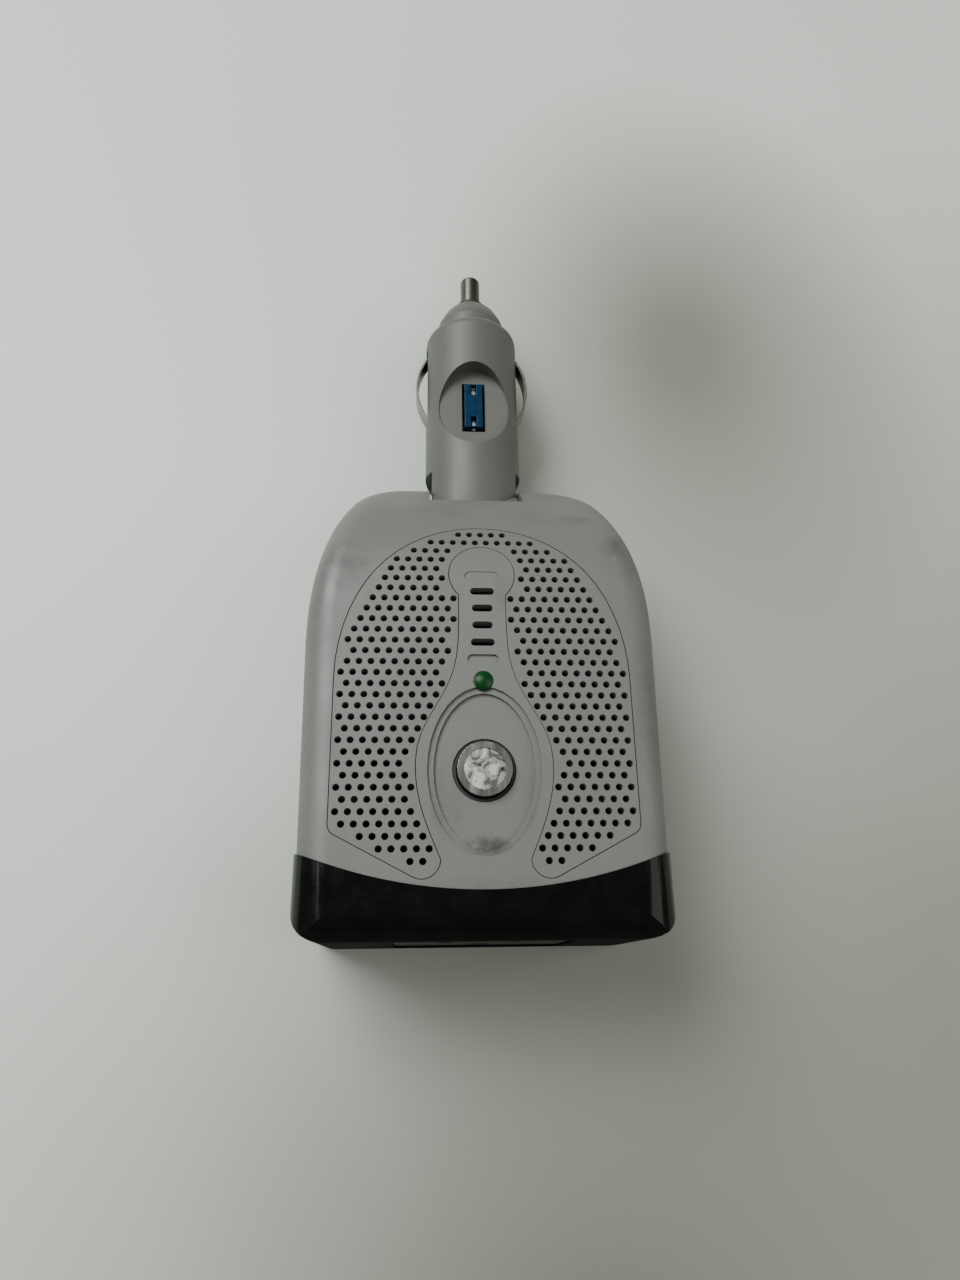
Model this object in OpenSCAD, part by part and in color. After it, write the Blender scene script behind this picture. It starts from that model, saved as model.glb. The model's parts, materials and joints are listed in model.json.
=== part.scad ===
/* [Body] */
// Half of the body's width
side_x = 32; // [31.5:0.1:33]
// Length of the two shells, from the outlet end
body_l = 92.5; // [92:0.1:93]
// Depth of the body, back to front
body_h = 37; // [36.5:0.1:38]
// Thickness of the shells
wall = 2; // [1.8:0.1:2.2]
// Height of the line where the two shells meet
part_z = 17; // [16.5:0.1:17.5]
// How far the end cap stands proud of the shells
cap_proud = 0.5; // [0.4:0.1:0.8]
// Distance from the outlet end to the cap's edge on the centre line
cap_edge_y = 7.8; // [7.5:0.1:8.5]
// Radius of the cap's curved edge
cap_edge_r = 82; // [80:1:90]

/* [Front face] */
// Pitch of the vent holes across the face
hole_pitch_x = 2.08; // [2:0.01:2.2]
// Pitch of the rows of vent holes
hole_pitch_y = 2.03; // [1.9:0.01:2.1]
// Diameter of a vent hole
hole_d = 1.2; // [1:0.05:1.3]
// Gap round the vent grille
seam = 0.14; // [0.1:0.01:0.2]
// Distance from the outlet end to the button's centre
button_y = 27.6; // [27:0.1:28.5]
// Diameter of the button
button_d = 9.4; // [9:0.1:9.6]
// Distance from the outlet end to the indicator lamp
lamp_y = 43.3; // [43:0.1:43.6]
// Diameter of the indicator lamp
lamp_d = 3.5; // [3:0.1:3.6]

/* [Plug] */
// Height of the plug's axis above the back
axis_z = 14.5; // [14.3:0.1:14.7]
// Distance from the outlet end to the plug's hinge
hinge_y = 81; // [80.9:0.1:81.1]
// Diameter of the plug's barrel
barrel_d = 20.6; // [20.4:0.1:20.8]
// Width of the plug's neck
neck_w = 17.8; // [17.6:0.1:18]
// Width of the notch that the neck turns in
notch_w = 18.8; // [18.6:0.1:19]
// Distance from the outlet end to the barrel's shoulder
shoulder_y = 134; // [133.8:0.1:134.2]
// Distance from the outlet end to the tip of the centre pin
tip_y = 151.6; // [151:0.1:152]
// Diameter of the centre pin
pin_d = 4.5; // [4.3:0.1:4.6]
// Distance from the outlet end to the fuse recess
recess_y = 110.4; // [110.2:0.1:110.8]

/* [Electronics] */
// Height of the main board's underside
board_z = 7; // [6.5:0.1:7.5]
// Thickness of the main board
board_t = 1.6; // [1.4:0.1:1.8]

/* [Hidden] */

// The part's origin lies on the back, this far from the outlet end
origin_y = 46;
// A small overlap for clean cuts, and a loose fit between fixed pieces
eps = 0.02;
gap = 0.1;

// Plan outline: straight sides, a long side curve and a tighter end curve
// The sides draw in by this much from the long curve to the outlet end
draft = 0.7;
long_r = 80;
long_y = 52;
turn_r = 14;
long_c = [side_x - long_r, long_y];
turn_c = [
    long_c.x + sqrt((long_r - turn_r) * (long_r - turn_r) - pow(body_l - turn_r - long_y, 2)),
    body_l - turn_r
];
turn_a = atan2(turn_c.y - long_c.y, turn_c.x - long_c.x);

// Side profile: a flat face that rolls down to an end rounded about the hinge
roll_r = 37;
end_r = body_l - hinge_y;
roll_c = [hinge_y - sqrt(pow(roll_r - end_r, 2) - pow(axis_z - body_h + roll_r, 2)), body_h - roll_r];
roll_a = atan2(axis_z - roll_c.y, hinge_y - roll_c.x);
back_c = [body_l - axis_z, axis_z];

// Corners of the cross-section
front_corner = 5.5;
back_corner = 5;
cap_corner = 5.5;
cap_edge_round = 4;
cap_side_round = 6;
cap_h = body_h + 0.5;
cap_x = side_x + cap_proud - 0.8 * draft;
cap_wall = 1.4;
cap_len = 20;
tongue_y = 5;
tongue_l = 13.5;
tongue_out = 1.5;
tongue_in = 3.2;

// Vent grille outline: an arch, straight sides and two round feet
arch = [26.2, 31];
arch_y = 44;
foot_r = 3.2;
foot_c = [10.6, 12.6];
heel_r = 2;
heel_c = [24.2, 18.4];
heel_a = -61;
grille_t = 1.6;
grille_drop = 0.15;
hole_margin = 1.15;
hole_row_y = 63.05;

// Keyhole panel between the two halves of the grille
key_y = 28;
key_w = 11.7;
waist_w = 4.2;
ankle_w = 7.4;
head_y = 64;
head_r = 6;
slot_h = 1.35;
slots = [[60.4, 4.4], [57.1, 3.8], [53.8, 3.7], [50.5, 4.3]];
blind_slots = [[63.4, 6.4, 2.2], [47.3, 5.6, 1.8]];
blind_depth = 0.5;
dish = [9.8, 14.6];
dish_step = 1.1;
dish_depth = 0.6;
button_hole_d = 11;

// Fastening bosses
boss_r = 3;
bosses = [[27.6, 20.5], [-27.6, 20.5], [21.5, 77.5], [-21.5, 77.5]];
screw_hole_r = 1.55;
screw_r = 1.45;
screw_head_r = 2.7;
screw_head_z = 1.4;
screw_head_t = 1.8;
screw_top = 26;
front_boss_top = 29;
board_posts = [[25, 28], [-25, 28], [25, 63], [-25, 63]];
control_posts = [37.3, 64.2];

// Hinge
pin_r = 2;
pin_half = 11.6;
hinge_clear = 0.05;
ear_t = 2.2;
ear_r = 7.5;
slot_y = 69.4;
knuckle_r = barrel_d / 2;
end_cut_r = 15.5;
notch_y = 84.7;

// Plug barrel
barrel_in = 8.3;
cavity_y = 101;
cavity_end = 124;
recess = [7.6, 10.3];
recess_z = 6.6;
floor_t = 1.7;
fuse_y = 111.2;
fuse = [3.9, 11, 8.8];
fuse_top = 22;
fuse_pocket = [5, 12.3];
blade = [0.8, 2.8];
blade_pitch = 8.1;
blade_bottom = 6.5;
collar_r = 7.7;
spigot_r = 5.8;
spigot_l = 4;
pin_bore_r = 4.2;
pin_flange_r = 3.9;
pin_flange_y = 136;
pin_flange_t = 1.6;
pin_step_y = shoulder_y + 10;
pin_stem_r = 1.8;
spring_y = 126.3;
seat_tab = [1, 0.5];
seat_z = axis_z - 3.3;
contact_w = 4;
contact_t = 0.5;
contact_y = [110.4, 128.4];
contact_bow = 12.6;
contact_slot = [5, 20.4];
contact_slot_x = 6.9;

bead = 1.12;

// Receptacle
plate = [15.4, 25.8];
plate_z = 18.5;
plate_face = 0.4;
outlet_depth = 20;
blade_gap = 12.7;
blade_z = 3.2;
ground_z = -8.7;
ground_r = 2.6;
face_t = 3;
cell = [5, 10];

// Points along an arc about c from angle a to angle b
function arc(c, r, a, b, n) = [for (i = [0:n]) c + r * [cos(a + (b - a) * i / n), sin(a + (b - a) * i / n)]];

// The same points on the other side of the centre line, in reverse order
function flipped(p) = [for (i = [len(p) - 1:-1:0]) [-p[i].x, p[i].y]];

function both(p) = concat(p, flipped(p));

// Plan of the body, inset by d and cut off at y0
function plan(d, y0) = both(concat(
    [[side_x - d - draft * (1 - y0 / long_y), y0]],
    arc(long_c, long_r - d, 0, turn_a, 8),
    arc(turn_c, turn_r - d, turn_a, 90, 8)
));

// Side profile of the body, inset by d and cut off at y0
function profile(d, y0) = concat(
    [[y0, d], [y0, body_h - d]],
    arc(roll_c, roll_r - d, 90, roll_a, 16),
    arc([hinge_y, axis_z], end_r - d, roll_a, 0, 8),
    arc(back_c, axis_z - d, 0, -90, 12)
);

// Cross-section of the body, inset by d
function section(d) = both(concat(
    arc([side_x - back_corner, back_corner], back_corner - d, -90, 0, 8),
    arc([side_x - front_corner, body_h - front_corner], front_corner - d, 0, 90, 8)
));

// Half width of the keyhole panel at y
function key_half(y) = y < key_y
    ? ankle_w + (key_w - ankle_w) * cos(90 * (key_y - y) / (key_y - foot_c.y))
    : waist_w + (key_w - waist_w) * exp(-pow((y - key_y) / 13, 2.5));

// Where the keyhole panel's waist meets its round head
head_join = head_y - sqrt(head_r * head_r - waist_w * waist_w);

// One side of the vent grille's outline, shrunk by d
function grille_side(d) = concat(
    [for (a = [90:-6:0]) [(arch.x - d) * cos(a), arch_y + (arch.y - d) * sin(a)]],
    arc(heel_c, heel_r - d, 0, heel_a, 4),
    arc(foot_c, foot_r - d, heel_a, -180, 8),
    [for (i = [1:20]) let (y = foot_c.y + (head_join - foot_c.y) * i / 20) [key_half(y) + d, y]],
    arc([0, head_y], head_r + d, -40, 90, 12)
);

// True where a vent hole at x, y stays clear of the grille's edges
function hole_fits(x, y) =
    let (m = hole_margin, n = arch_y)
    (y > n ? pow(x / (arch.x - m), 2) + pow((y - n) / (arch.y - m), 2) < 1 : x < arch.x - m)
    && (y > head_join
        ? norm([x, y - head_y]) > head_r + m && x > waist_w + m * (y < head_y ? 1 : -9)
        : x > key_half(max(y, foot_c.y)) + m - 0.2)
    && (y - foot_c.y + foot_r * 0.62 > 0.53 * (x - foot_c.x) - 0.2)
    && (y > foot_c.y - foot_r + m);

module placed() {
    translate([0, -origin_y, 0]) children();
}

// Turns a shape drawn as length by height into one that runs across the body
module across(w) {
    rotate([90, 0, 90]) linear_extrude(w, center = true) children();
}

// Turns a shape drawn as width by height into one that runs along the body
module along(y0, y1) {
    translate([0, y1, 0]) rotate([90, 0, 0]) linear_extrude(y1 - y0) children();
}

// A cylinder along the plug
module rod(r, y0, y1) {
    translate([0, y0, axis_z]) rotate([-90, 0, 0]) cylinder(r = r, h = y1 - y0, $fn = 64);
}

// A cylinder across the body, about the hinge
module hinge_rod(r, half) {
    translate([-half, hinge_y, axis_z]) rotate([0, 90, 0]) cylinder(r = r, h = 2 * half, $fn = 64);
}

module block(x0, x1, y0, y1, z0, z1) {
    translate([x0, y0, z0]) cube([x1 - x0, y1 - y0, z1 - z0]);
}

// The body's outer form, inset by d, from y0 to the hinge end
module body_form(d, y0) {
    intersection() {
        linear_extrude(body_h + 1) polygon(plan(d, y0));
        across(2 * side_x) polygon(profile(d, y0));
        along(y0, body_l) polygon(section(d));
    }
}

// Everything on the outlet side of the cap's curved edge, moved along by d
module cap_side(d) {
    difference() {
        block(-side_x - 5, side_x + 5, -5, cap_len + 5, -5, body_h + 5);
        translate([0, cap_edge_y + cap_edge_r + d, -6]) cylinder(r = cap_edge_r, h = body_h + 12, $fn = 200);
    }
}

// Both shells as one hollow form, with a tongue that slides into the cap
module shell_pair() {
    difference() {
        body_form(0, 0);
        body_form(wall, -1);
        cap_side(0);
    }
    difference() {
        body_form(tongue_out, tongue_y);
        body_form(tongue_in, tongue_y - 1);
        translate([0, tongue_y + tongue_l, -1]) block(-side_x, side_x, 0, body_l, 0, body_h + 2);
    }
}

// A slot of width w and height h with round ends
module stadium(w, h) {
    polygon(concat(arc([(w - h) / 2, 0], h / 2, -90, 90, 8), arc([(h - w) / 2, 0], h / 2, 90, 270, 8)));
}

module front_shell() {
    color([0.62, 0.61, 0.6]) difference() {
        union() {
            intersection() {
                shell_pair();
                block(-side_x, side_x, 0, body_l, part_z, body_h);
            }
            for (b = bosses) translate([b.x, b.y, part_z]) cylinder(r = boss_r, h = front_boss_top - part_z, $fn = 32);
            for (y = control_posts) {
                translate([0, y, control_z + control_t]) cylinder(r = 1.6, h = body_h - wall - control_z, $fn = 32);
            }
        }
        translate([0, 0, front_boss_top + 1]) linear_extrude(body_h) polygon(both(grille_side(0)));
        for (b = bosses) {
            translate([b.x, b.y, part_z - 1]) cylinder(r = screw_hole_r, h = screw_top - part_z + 2, $fn = 32);
        }
        for (y = control_posts) translate([0, y, control_z]) cylinder(r = 0.8, h = 7, $fn = 32);
        for (s = slots) translate([0, s[0], part_z]) linear_extrude(body_h) stadium(s[1], slot_h);
        for (s = blind_slots) {
            translate([0, s[0], body_h - blind_depth]) linear_extrude(body_h) stadium(s[1], s[2]);
        }
        for (k = [0, 1]) {
            translate([0, button_y, body_h - dish_depth * (k + 1)]) linear_extrude(body_h)
                polygon([for (a = [0:10:350]) [(dish.x - k * dish_step) * cos(a), (dish.y - k * dish_step) * sin(a)]]);
        }
        translate([0, button_y, part_z]) cylinder(d = button_hole_d, h = body_h, $fn = 64);
        translate([0, lamp_y, part_z]) cylinder(d = lamp_d + gap, h = body_h, $fn = 32);
        block(-notch_w / 2, notch_w / 2, notch_y, body_l + 1, part_z - 1, body_h + 1);
    }
}

module vent_grille() {
    color([0.6, 0.59, 0.58]) intersection() {
        translate([0, 0, part_z]) linear_extrude(body_h) difference() {
            polygon(both(grille_side(seam)));
            for (row = [-26:6]) {
                for (col = [0:13]) {
                    x = (col + (abs(row) % 2) / 2) * hole_pitch_x;
                    y = hole_row_y - hole_pitch_y + row * hole_pitch_y;
                    if (hole_fits(x, y)) {
                        for (s = x > 0 ? [-1, 1] : [1]) translate([s * x, y]) circle(d = hole_d, $fn = 16);
                    }
                }
            }
        }
        difference() {
            across(2 * side_x - 9) polygon(profile(grille_drop, 5));
            across(2 * side_x) polygon(profile(grille_drop + grille_t, 4));
        }
    }
}

module back_shell() {
    color([0.55, 0.54, 0.53]) difference() {
        union() {
            intersection() {
                shell_pair();
                block(-side_x, side_x, 0, body_l, 0, part_z);
            }
            for (b = bosses) translate([b.x, b.y, 0.5]) cylinder(r = boss_r, h = part_z - 0.5, $fn = 32);
            for (b = board_posts) translate([b.x, b.y, 1]) cylinder(r = 2.4, h = board_z - 1, $fn = 32);
            intersection() {
                body_form(wall / 2, 0);
                union() {
                    for (s = [-1, 1]) {
                        translate([s * (notch_w + ear_t) / 2, 0, 0])
                            block(-ear_t / 2, ear_t / 2, slot_y - wall, body_l, 0.5, part_z);
                    }
                    block(-notch_w / 2 - ear_t, notch_w / 2 + ear_t, slot_y - wall, slot_y, 0.5, part_z + 6);
                }
            }
            intersection() {
                hinge_rod(ear_r, notch_w / 2 + ear_t);
                block(-side_x, side_x, 0, body_l - wall - 1, 0, body_h);
            }
        }
        block(-notch_w / 2, notch_w / 2, slot_y, body_l + 1, -1, body_h);
        hinge_rod(pin_r, side_x);
        for (b = bosses) {
            translate([b.x, b.y, -1]) cylinder(r = screw_hole_r, h = part_z + 2, $fn = 32);
            translate([b.x, b.y, -1]) cylinder(r = screw_head_r + gap, h = screw_head_z + screw_head_t + 1, $fn = 32);
        }
        for (b = board_posts) translate([b.x, b.y, 2.2]) cylinder(r = 0.9, h = board_z, $fn = 32);
        for (k = [0:5]) {
            for (s = [-1, 1]) translate([s * 14, 30 + 4 * k, -1]) linear_extrude(wall + 2) stadium(12, 1.6);
        }
    }
}

module end_cap() {
    color([0.04, 0.04, 0.04]) difference() {
        intersection() {
            linear_extrude(cap_h) polygon(both(concat(
                arc([cap_x - cap_corner, cap_corner], cap_corner, -90, 0, 8),
                [[cap_x, cap_len]]
            )));
            across(2 * side_x + 4) polygon(concat(
                [[cap_len, 0]],
                arc([cap_edge_round, cap_edge_round], cap_edge_round, -90, -180, 6),
                arc([cap_edge_round, cap_h - cap_edge_round], cap_edge_round, 180, 90, 6),
                [[cap_len, cap_h]]
            ));
            along(-1, cap_len + 1) polygon(both(concat(
                arc([cap_x - back_corner, back_corner], back_corner, -90, 0, 8),
                arc([cap_x - cap_side_round, cap_h - cap_side_round], cap_side_round, 0, 90, 8)
            )));
            cap_side(-gap);
        }
        body_form(cap_wall, 2.2);
        block(-plate.x - gap, plate.x + gap, -1, 4, plate_z - plate.y / 2 - gap, plate_z + plate.y / 2 + gap);
    }
}

module housing_screws() {
    color("silver") for (b = bosses) {
        difference() {
            translate([b.x, b.y, screw_head_z]) union() {
                cylinder(r = screw_head_r, h = screw_head_t - 0.1, $fn = 32);
                cylinder(r = screw_r, h = screw_top - screw_head_z, $fn = 32);
            }
            for (a = [0, 90]) translate([b.x, b.y, screw_head_z]) rotate(a) cube([3.2, 0.7, 1.6], center = true);
        }
    }
}

module hinge_pin() {
    color("silver") hinge_rod(pin_r - 0.01, pin_half);
}

module hinge_washers() {
    color([0.8, 0.78, 0.7]) for (s = [-1, 1]) {
        translate([s * (neck_w + notch_w) / 4 - 0.2, hinge_y, axis_z]) rotate([0, 90, 0]) difference() {
            cylinder(r = 5, h = 0.4, $fn = 48);
            translate([0, 0, -1]) cylinder(r = pin_r + hinge_clear, h = 2, $fn = 48);
        }
    }
}

// The receptacle's cells, left, right and ground, as x, z and the slot's height
cells = [[-blade_gap / 2, blade_z, 8.6], [blade_gap / 2, blade_z, 7.1]];

module outlet_insert() {
    color([0.05, 0.05, 0.05]) translate([0, 0, plate_z]) difference() {
        union() {
            block(-plate.x, plate.x, plate_face, outlet_depth, -plate.y / 2, plate.y / 2);
            block(-plate.x - 2, plate.x + 2, 4.2, 5.8, -plate.y / 2, plate.y / 2);
        }
        for (c = cells) {
            block(c.x - 1.1, c.x + 1.1, -1, face_t + 1, c.y - c[2] / 2, c.y + c[2] / 2);
            block(c.x - cell.x / 2, c.x + cell.x / 2, face_t, outlet_depth + 1, c.y - cell.y / 2, c.y + cell.y / 2);
        }
        translate([0, -1, ground_z]) rotate([-90, 0, 0]) cylinder(r = ground_r, h = face_t + 2, $fn = 48);
        block(-3.6, 3.6, face_t, outlet_depth + 1, ground_z - 3.4, ground_z + 3.6);
    }
}

// A folded strip with two leaves that grip a blade
module leaf_pair(x, z, half, h) {
    translate([x, 0, plate_z + z]) {
        for (s = [-1, 1]) translate([s * (half + 0.3), 0, 0]) block(-0.3, 0.3, 5, 17, -h / 2, h / 2);
        block(-half - 0.6, half + 0.6, 17, 17.6, -h / 2, h / 2);
        block(-0.8, 0.8, 17.3, 22, -1.5, 1.5);
    }
}

module line_contact() {
    color("goldenrod") leaf_pair(blade_gap / 2, blade_z, 0.85, 7);
}

module neutral_contact() {
    color("goldenrod") leaf_pair(-blade_gap / 2, blade_z, 0.85, 7);
}

module ground_contact() {
    color("goldenrod") leaf_pair(0, ground_z, 2.5, 5);
}

// A wire of radius r through a list of points, with a slightly fuller bead at each bend
module wire(r, pts) {
    for (i = [0:len(pts) - 2]) {
        d = pts[i + 1] - pts[i];
        translate(pts[i]) rotate([0, acos(d.z / norm(d)), atan2(d.y, d.x)]) cylinder(r = r, h = norm(d), $fn = 16);
        if (i > 0) translate(pts[i]) sphere(r = bead * r, $fn = 16);
    }
}

lead_r = 0.7;
lead_end_z = board_z + board_t + lead_r + 0.05;

module outlet_leads() {
    color([0.1, 0.1, 0.1]) {
        for (s = [-1, 1]) {
            wire(lead_r, [[s * blade_gap / 2, 22.6, 20.5], [s * 9.5, 27.5, lead_end_z]]);
        }
        wire(lead_r, [[0, 22.6, 9.8], [3, 28, lead_end_z]]);
    }
}

bezel_top = body_h - 2 * dish_depth - 0.3;
button_top = body_h + 0.2;
button_bottom = 30.5;
control_z = 21.5;
control_t = 1.2;
switch_top = 28;

module button_bezel() {
    color([0.03, 0.03, 0.03]) translate([0, button_y, 0]) difference() {
        union() {
            translate([0, 0, 30]) cylinder(d = button_hole_d - gap, h = bezel_top - 30, $fn = 64);
            translate([0, 0, 33.2]) cylinder(d = button_hole_d + 2, h = body_h - wall - 33.3, $fn = 64);
        }
        translate([0, 0, 29]) cylinder(d = button_d + 0.3, h = 9, $fn = 64);
    }
}

module button_cap() {
    color([0.85, 0.85, 0.85]) translate([0, button_y, 0]) {
        difference() {
            translate([0, 0, button_bottom]) cylinder(d = button_d, h = button_top - button_bottom, $fn = 64);
            translate([0, 0, button_top - 0.8]) cylinder(r = 3.6, h = 2, $fn = 64);
            translate([0, 0, button_bottom - 1]) cylinder(r = 3.4, h = 3.2, $fn = 64);
        }
        translate([0, 0, switch_top + 1.7]) cylinder(r = 1.4, h = 4, $fn = 32);
    }
}

module button_insert() {
    color([0.88, 0.88, 0.86]) translate([0, button_y, button_top - 0.78]) cylinder(r = 3.55, h = 0.66, $fn = 64);
}

module button_spring() {
    color("silver") translate([0, button_y, 0]) difference() {
        translate([0, 0, switch_top + 0.1]) cylinder(r = 3, h = button_bottom + 2 - switch_top, $fn = 32);
        translate([0, 0, switch_top - 1]) cylinder(r = 2.3, h = 9, $fn = 32);
    }
}

module switch_body() {
    color([0.12, 0.12, 0.12]) translate([0, button_y, 0]) difference() {
        block(-4, 4, -4, 4, control_z + control_t, switch_top);
        translate([0, 0, switch_top - 2]) cylinder(r = 1.5, h = 3, $fn = 32);
    }
}

module indicator_lamp() {
    color([0.05, 0.35, 0.12]) translate([0, lamp_y, 0]) {
        translate([0, 0, control_z + control_t]) cylinder(d = lamp_d, h = body_h - control_z - control_t, $fn = 32);
        translate([0, 0, body_h]) intersection() {
            translate([0, 0, -2.2]) sphere(r = 2.8, $fn = 48);
            cylinder(d = lamp_d, h = 2, $fn = 32);
        }
    }
}

module buzzer() {
    color([0.08, 0.08, 0.08]) translate([0, 55.5, control_z + control_t]) difference() {
        cylinder(r = 4.7, h = 6.5, $fn = 48);
        translate([0, 0, 5]) cylinder(r = 1, h = 3, $fn = 24);
    }
}

module control_board() {
    color([0.1, 0.35, 0.2]) difference() {
        block(-8.6, 8.6, 23.5, 66.5, control_z, control_z + control_t);
        for (y = control_posts) translate([0, y, 0]) cylinder(r = 1, h = body_h, $fn = 24);
    }
}

module control_screws() {
    color("silver") for (y = control_posts) translate([0, y, control_z - 1]) {
        cylinder(r = 1.6, h = 0.95, $fn = 32);
        cylinder(r = 0.75, h = 6, $fn = 32);
    }
}

module board_header() {
    color([0.1, 0.1, 0.1]) block(-5.4, -1.2, 23.5, 26, board_z + board_t, control_z - 0.05);
}

module main_board() {
    color([0.1, 0.35, 0.2]) difference() {
        block(-28, 28, 25, 66.8, board_z, board_z + board_t);
        for (b = board_posts) translate([b.x, b.y, 0]) cylinder(r = 1.1, h = 20, $fn = 24);
    }
}

module board_screws() {
    color("silver") for (b = board_posts) translate([b.x, b.y, 3]) {
        translate([0, 0, board_z + board_t - 3 + 0.02]) cylinder(r = 1.9, h = 1.3, $fn = 32);
        cylinder(r = 0.85, h = board_z + board_t - 2.5, $fn = 32);
    }
}

core = [19, 24, 20];
core_c = [-19, 45];
leg = 5;

module transformer_core() {
    color([0.15, 0.15, 0.16]) translate([core_c.x - core.x / 2, core_c.y - core.y / 2, board_z + board_t + 1.5])
        difference() {
            cube(core);
            for (y = [leg / 2 + 0.5, core.y / 2 + leg / 2]) {
                translate([-1, y, leg / 2]) cube([core.x + 2, core.y / 2 - leg - 0.5, core.z - leg]);
            }
        }
}

module transformer_coil() {
    color([0.75, 0.6, 0.2]) translate([core_c.x, core_c.y, board_z + board_t]) difference() {
        block(-core.x / 2 + 0.5, core.x / 2 - 0.5, -8.6, 8.6, 4.3, 18.8);
        block(-core.x, core.x, -leg / 2 - 0.1, leg / 2 + 0.1, 0, 40);
    }
}

choke_c = [18.2, 38];

module choke_core() {
    color([0.55, 0.5, 0.2]) translate([choke_c.x, choke_c.y, board_z + board_t + 1.2]) difference() {
        cylinder(r = 6, h = 6, $fn = 48);
        translate([0, 0, -1]) cylinder(r = 3, h = 8, $fn = 48);
    }
}

module choke_winding() {
    color([0.7, 0.35, 0.15]) translate([choke_c.x, choke_c.y, board_z + board_t + 0.1]) {
        for (a = [0:30:330]) rotate(a) difference() {
            block(1.9, 7.1, -0.45, 0.45, 0, 8.2);
            block(2.8, 6.2, -1, 1, 0.9, 7.3);
        }
    }
}

module input_capacitors() {
    color([0.1, 0.12, 0.3]) for (c = [[-3, 11.4], [15, 19]]) translate([c.x, 59.5, board_z + board_t]) {
        difference() {
            cylinder(r = 5, h = c.y, $fn = 48);
            translate([0, 0, c.y - 0.4]) for (a = [0, 90]) rotate(a) cube([6, 0.5, 1.2], center = true);
        }
    }
}

module output_capacitor() {
    color([0.1, 0.1, 0.1]) translate([20.5, 50.5, board_z + board_t]) difference() {
        cylinder(r = 4.9, h = 21, $fn = 48);
        translate([0, 0, 20.6]) for (a = [0, 90]) rotate(a) cube([6, 0.5, 1.2], center = true);
    }
}

module power_transistors() {
    color([0.07, 0.07, 0.07]) for (y = [34, 44.5, 55]) translate([0, y, board_z + board_t]) {
        block(25.6, 26.8, -5, 5, 6, 15);
        for (k = [-2.5, 0, 2.5]) block(26, 26.6, k - 0.4, k + 0.4, eps, 6.2);
    }
}

module heat_sink() {
    color([0.75, 0.76, 0.77]) block(26.85, 28.3, 30, 61, board_z + board_t + 0.1, 29);
}

module control_chips() {
    color([0.05, 0.05, 0.05]) for (y = [33, 44]) block(-3, 9, y - 3.2, y + 3.2, board_z + board_t, 12.4);
}

module resistors() {
    color([0.8, 0.7, 0.5]) for (k = [0:3]) translate([3 * k - 21, 27.5, board_z + board_t + 1.15])
        rotate([-90, 0, 0]) cylinder(r = 1.1, h = 4.5, $fn = 24);
}

module housing_leads() {
    color([0.6, 0.05, 0.05]) for (s = [-1, 1]) {
        wire(0.9, [[s * 9.8, 66.1, 9.7], [s * 9.8, 66.1, 25.5], [s * 4.5, 69, 28.2], [s * 4, 78, 28.2]]);
    }
}

// The plug's outer form: knuckle, neck and barrel up to the collar
module plug_form() {
    hinge_rod(knuckle_r, neck_w / 2);
    intersection() {
        rod(knuckle_r, hinge_y, hinge_y + end_cut_r + 1);
        block(-neck_w / 2, neck_w / 2, 0, shoulder_y, 0, body_h);
    }
    difference() {
        translate([0, hinge_y, axis_z]) rotate([-90, 0, 0]) rotate_extrude($fn = 96) polygon(concat(
            [[0, 0], [knuckle_r, 0]],
            arc([knuckle_r - 2.6, shoulder_y - hinge_y - 2.6], 2.6, 0, 90, 6),
            [[0, shoulder_y - hinge_y]]
        ));
        hinge_rod(end_cut_r, 2 * knuckle_r);
    }
    rod(spigot_r, shoulder_y - 1, shoulder_y + spigot_l);
}

module plug_hollows() {
    difference() {
        rod(barrel_in, cavity_y, cavity_end);
        block(-knuckle_r, knuckle_r, cavity_y - 1, cavity_end + 1, axis_z + recess_z - floor_t, body_h);
    }
    rod(pin_bore_r, cavity_end + 2, shoulder_y + spigot_l + 1);
    block(
        -seat_tab.x - gap, seat_tab.x + gap, cavity_end - 1, cavity_end + 3,
        seat_z - gap, seat_z + seat_tab.y + gap
    );
    hinge_rod(pin_r + hinge_clear, neck_w);
    for (s = [-1, 1]) {
        translate([s * 4, 0, axis_z]) block(-1.1, 1.1, hinge_y + 5, cavity_y + 1, -2.2, 2.2);
        translate([0, 0, axis_z]) block(
            min(s * contact_slot_x, s * 12), max(s * contact_slot_x, s * 12),
            contact_y[0] - 1.2, contact_y[0] - 1.2 + contact_slot[1],
            -contact_slot[0] / 2, contact_slot[0] / 2
        );
    }
    translate([0, 0, -1]) {
        translate([0, plug_screw_y, 0]) cylinder(r = 2.3, h = axis_z - 4, $fn = 32);
        translate([0, plug_screw_y, 0]) cylinder(r = 1.25, h = axis_z + 5, $fn = 32);
    }
}

plug_screw_y = 98.4;

module plug_front_half() {
    color([0.6, 0.58, 0.56]) difference() {
        intersection() {
            plug_form();
            block(-20, 20, 0, tip_y, axis_z, body_h);
        }
        plug_hollows();
        translate([0, recess_y, axis_z + recess_z]) linear_extrude(body_h)
            polygon([for (a = [0:7.5:352.5]) [recess.x * cos(a), recess.y * sin(a)]]);
        translate([0, fuse_y, 0]) block(
            -fuse_pocket.x / 2, fuse_pocket.x / 2, -fuse_pocket.y / 2, fuse_pocket.y / 2, axis_z, body_h
        );
    }
}

module plug_back_half() {
    color([0.55, 0.54, 0.53]) difference() {
        intersection() {
            plug_form();
            block(-20, 20, 0, tip_y, -1, axis_z);
        }
        plug_hollows();
    }
}

module plug_screw() {
    color("silver") translate([0, plug_screw_y, 0]) difference() {
        union() {
            translate([0, 0, axis_z - 7]) cylinder(r = 2.2, h = 1.9, $fn = 32);
            translate([0, 0, axis_z - 6]) cylinder(r = 1.2, h = 9.5, $fn = 32);
        }
        for (a = [0, 90]) translate([0, 0, axis_z - 7]) rotate(a) cube([2.6, 0.6, 1.6], center = true);
    }
}

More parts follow.
